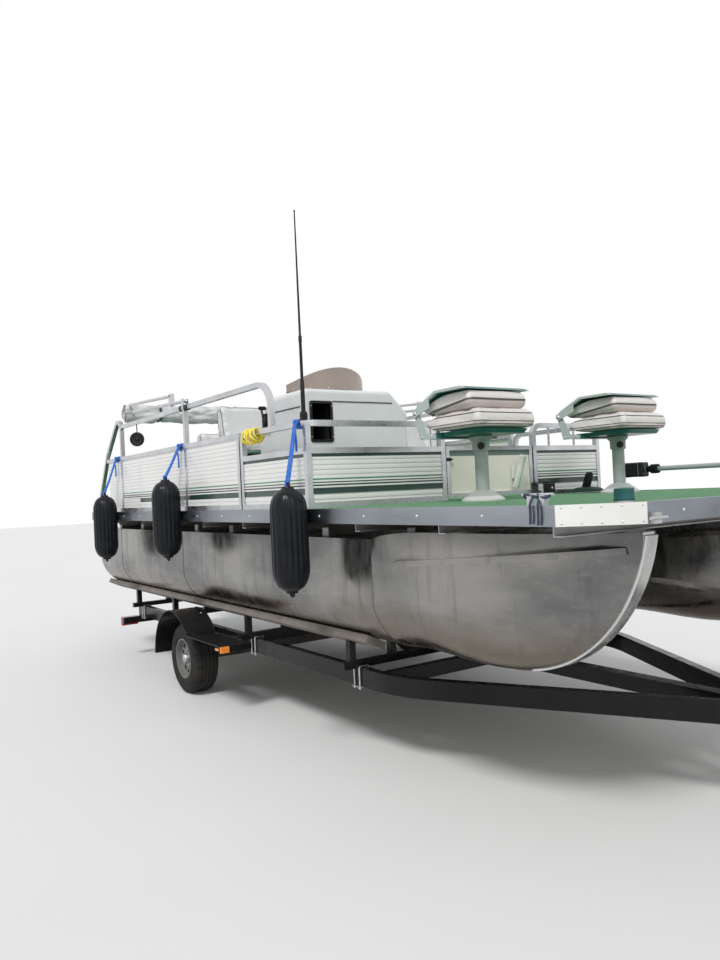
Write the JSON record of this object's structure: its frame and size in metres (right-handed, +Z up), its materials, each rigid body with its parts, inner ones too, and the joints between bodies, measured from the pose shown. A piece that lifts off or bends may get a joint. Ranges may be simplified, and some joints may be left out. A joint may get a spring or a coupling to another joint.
{
  "type": "pontoon boat",
  "caption": "Aluminium pontoon fishing boat on its single-axle trailer, with fenced deck, console, folding seats, bimini, fenders and two motors.",
  "frame": {"origin": "centre of the tow ball in the trailer's coupler", "axes": "+X towards the bow and the towing vehicle, +Y to port, +Z up"},
  "size_m": [8.17, 2.6402, 3.002],
  "materials": {
    "black_paint": "gloss",
    "black_plastic": "moulded",
    "blue_rope": "braided",
    "bunk_carpet": "worn carpet",
    "console_grey": "moulded",
    "console_moulding": "gel coat",
    "cowl_paint": "gloss",
    "cream_paint": "semi-gloss",
    "dark_metal": "satin",
    "fender_vinyl": "glossy vinyl",
    "frame_aluminium": "satin",
    "green_turf": "tufted",
    "grey_vinyl": "vinyl",
    "hull_aluminium": "brushed, weathered",
    "lamp_lens": "lens",
    "plywood": "sealed",
    "rail_aluminium": "satin, dull",
    "rim_paint": "semi-gloss",
    "seat_vinyl": "vinyl",
    "smoked_screen": "smoked",
    "steel": "zinc plated",
    "teal_shell": "moulded",
    "tyre_rubber": "dusty",
    "white_canvas": "coated canvas",
    "white_paint": "semi-gloss",
    "yellow_rope": "braided"
  },
  "bodies": {
    "boat_and_trailer": {"pontoons": "hull_aluminium", "cross_channels": "frame_aluminium", "deck_board": "plywood", "deck_turf": "green_turf", "deck_rail": "rail_aluminium", "bow_corner_plates": "white_paint", "aft_fence_frames": "frame_aluminium", "fore_fence_frames": "frame_aluminium", "stern_fence_frame": "frame_aluminium", "high_rails": "frame_aluminium", "fence_panels": "white_paint", "console": "console_moulding", "windscreen": "smoked_screen", "seat_pedestals": "frame_aluminium", "lounge_bases": "console_grey", "lounge_cushions": "grey_vinyl", "deck_fittings": "frame_aluminium", "fenders": "fender_vinyl", "fender_ropes": "blue_rope", "whip_antenna": "black_plastic", "rope_hank": "yellow_rope", "trolling_mount": "black_plastic", "motor_pod": "hull_aluminium", "outboard_bracket": "dark_metal", "trailer_rails": "black_paint", "trailer_crossmembers": "black_paint", "bunks": "bunk_carpet", "bunk_cradles": "black_paint", "axle": "dark_metal", "mudguards": "black_paint", "tongue": "black_paint", "winch_stand": "black_paint", "trailer_lamps": "lamp_lens"},
    "gate": {"bow_gate": "frame_aluminium", "bow_gate_panel": "cream_paint"},
    "helm_wheel": {"steering_wheel": "black_plastic"},
    "helm_seat": {"helm_chair": "grey_vinyl"},
    "near_seat": {"near_seat_shell": "teal_shell", "near_seat_cushion": "seat_vinyl"},
    "near_back": {"near_back_shell": "teal_shell", "near_back_cushion": "seat_vinyl"},
    "far_seat": {"far_seat_shell": "teal_shell", "far_seat_cushion": "seat_vinyl"},
    "far_back": {"far_back_shell": "teal_shell", "far_back_cushion": "seat_vinyl"},
    "bow_motor_carrier": {"trolling_carrier": "black_plastic"},
    "bow_motor": {"trolling_motor": "black_plastic"},
    "bow_motor_propeller": {"trolling_propeller": "black_plastic"},
    "bimini": {"bimini_frame": "frame_aluminium", "bimini_roll": "white_canvas"},
    "outboard_tilt_part": {"outboard_swivel": "dark_metal"},
    "outboard": {"outboard_leg": "cowl_paint", "outboard_cowl": "cowl_paint", "outboard_powerhead": "dark_metal"},
    "outboard_screw": {"outboard_propeller": "dark_metal"},
    "starboard_wheel": {"starboard_tyre": "tyre_rubber", "starboard_rim": "rim_paint"},
    "port_wheel": {"port_tyre": "tyre_rubber", "port_rim": "rim_paint"},
    "jack": {"jack_leg": "steel"}
  },
  "joints": [
    {"name": "gate_swing", "type": "hinge", "parent": "boat_and_trailer", "child": "gate", "pos_m": [-3.144, 0.5255, 1.13], "axis": [0, 0, -1], "range_deg": [0, 90]},
    {"name": "steering_turn", "type": "hinge", "parent": "boat_and_trailer", "child": "helm_wheel", "pos_m": [-4.59093, -0.24, 1.555], "axis": [-0.866, 0, 0.5], "range_deg": [-540, 540]},
    {"name": "helm_seat_swivel", "type": "hinge", "parent": "boat_and_trailer", "child": "helm_seat", "pos_m": [-5.27, -0.39, 1.35], "axis": [0, 0, 1], "continuous": true},
    {"name": "near_seat_swivel", "type": "hinge", "parent": "boat_and_trailer", "child": "near_seat", "pos_m": [-2.55, -0.45, 1.308], "axis": [0, 0, 1], "continuous": true},
    {"name": "near_back_fold", "type": "hinge", "parent": "near_seat", "child": "near_back", "pos_m": [-2.8, -0.45, 1.452], "axis": [0, -1, 0], "range_deg": [0, 105]},
    {"name": "far_seat_swivel", "type": "hinge", "parent": "boat_and_trailer", "child": "far_seat", "pos_m": [-2.55, 0.68, 1.308], "axis": [0, 0, 1], "continuous": true},
    {"name": "far_back_fold", "type": "hinge", "parent": "far_seat", "child": "far_back", "pos_m": [-2.8, 0.68, 1.452], "axis": [0, -1, 0], "range_deg": [0, 105]},
    {"name": "bow_motor_deploy", "type": "hinge", "parent": "boat_and_trailer", "child": "bow_motor_carrier", "pos_m": [-1.04, 0.97, 1.105], "axis": [0, 1, 0], "range_deg": [0, 90]},
    {"name": "bow_motor_depth", "type": "slide", "parent": "bow_motor_carrier", "child": "bow_motor", "axis": [1, 0, 0], "range_m": [0, 0.9]},
    {"name": "bow_motor_propeller_spin", "type": "hinge", "parent": "bow_motor", "child": "bow_motor_propeller", "pos_m": [-0.945, 0.805, 1.105], "axis": [0, -1, 0], "continuous": true},
    {"name": "bimini_swing", "type": "hinge", "parent": "boat_and_trailer", "child": "bimini", "pos_m": [-4.819, 0, 1.756], "axis": [0, 1, 0], "range_deg": [0, 110]},
    {"name": "outboard_tilt", "type": "hinge", "parent": "boat_and_trailer", "child": "outboard_tilt_part", "pos_m": [-7.57, 0, 0.805], "axis": [0, 1, 0], "range_deg": [0, 60]},
    {"name": "outboard_steer", "type": "hinge", "parent": "outboard_tilt_part", "child": "outboard", "pos_m": [-7.675, 0, 0.67], "axis": [0, 0, 1], "range_deg": [-35, 35]},
    {"name": "outboard_screw_spin", "type": "hinge", "parent": "outboard", "child": "outboard_screw", "pos_m": [-7.899, 0, 0.105], "axis": [1, 0, 0], "continuous": true},
    {"name": "starboard_wheel_spin", "type": "hinge", "parent": "boat_and_trailer", "child": "starboard_wheel", "pos_m": [-5.19, -1.0425, -0.15], "axis": [0, 1, 0], "continuous": true},
    {"name": "port_wheel_spin", "type": "hinge", "parent": "boat_and_trailer", "child": "port_wheel", "pos_m": [-5.19, 1.0425, -0.15], "axis": [0, 1, 0], "continuous": true},
    {"name": "jack_extend", "type": "slide", "parent": "boat_and_trailer", "child": "jack", "axis": [0, 0, -1], "range_m": [0, 0.25]}
  ],
  "couplings": [
    {"joint": "steering_turn", "follows": "outboard_steer", "ratio": 15.4}
  ]
}
